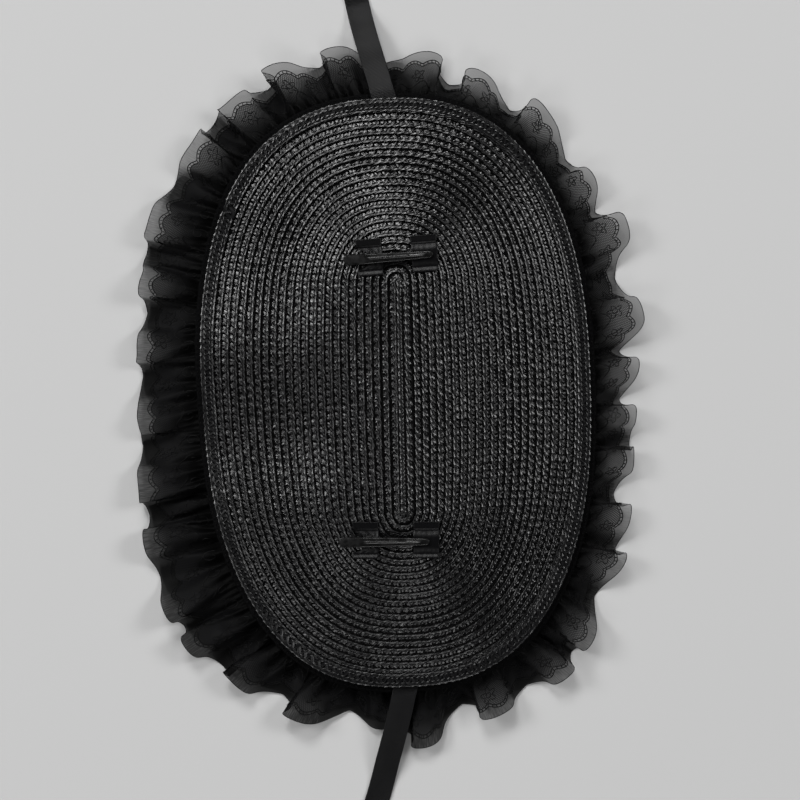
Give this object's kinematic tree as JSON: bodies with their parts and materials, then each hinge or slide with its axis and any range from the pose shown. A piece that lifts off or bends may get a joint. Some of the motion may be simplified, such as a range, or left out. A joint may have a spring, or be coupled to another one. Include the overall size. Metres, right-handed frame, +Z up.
{
  "type": "flat oval straw bonnet with lace ruffle, chin ties and hair clips",
  "caption": "Flat oval bonnet of spiral-sewn black braid with a gathered lace ruffle round its edge, ribbon ties at its ends and sprung hair clips on its inside, lying inside up.",
  "frame": {"origin": "on the surface that the bonnet lies on, under the middle of its bounding box", "axes": "+Z up, out of the bonnet's inside face; +Y along the oval towards the top tie; +X across the oval, the way the clips' jaws point"},
  "size_m": [0.254, 0.4002, 0.0205],
  "materials": {
    "straw": "glossy braided polypropylene straw",
    "lace": "sheer organza lace",
    "tape": "plain cotton tape",
    "ribbon": "matte woven ribbon",
    "tab_ribbon": "woven satin ribbon",
    "clip_steel": "satin black enamel on steel sheet"
  },
  "bodies": {
    "bonnet": {"straw_plate": "straw", "rim_braid": "straw", "ruffle_heading": "tape", "lace_ruffle": "lace", "top_tie": "ribbon", "bottom_tie": "ribbon", "top_clip_base_blade": "clip_steel", "top_clip_pin": "clip_steel", "top_clip_spring": "clip_steel", "top_clip_pivot_tab": "tab_ribbon", "top_clip_tip_tab": "tab_ribbon", "bottom_clip_base_blade": "clip_steel", "bottom_clip_pin": "clip_steel", "bottom_clip_spring": "clip_steel", "bottom_clip_pivot_tab": "tab_ribbon", "bottom_clip_tip_tab": "tab_ribbon"},
    "top_jaw": {"top_clip_sprung_jaw": "clip_steel"},
    "bottom_jaw": {"bottom_clip_sprung_jaw": "clip_steel"}
  },
  "joints": [
    {"name": "top_clip_opening", "type": "hinge", "parent": "bonnet", "child": "top_jaw", "pos_m": [-0.01365, 0.07018, 0.016], "axis": [0.0767, -0.9971, 0], "range_deg": [0, 26], "stiffness_Nm_per_rad": 0.02, "springref_deg": -20.05},
    {"name": "bottom_clip_opening", "type": "hinge", "parent": "bonnet", "child": "bottom_jaw", "pos_m": [-0.01565, -0.07102, 0.01572], "axis": [0.007, -1, 0], "range_deg": [0, 26], "stiffness_Nm_per_rad": 0.02, "springref_deg": -20.05}
  ]
}
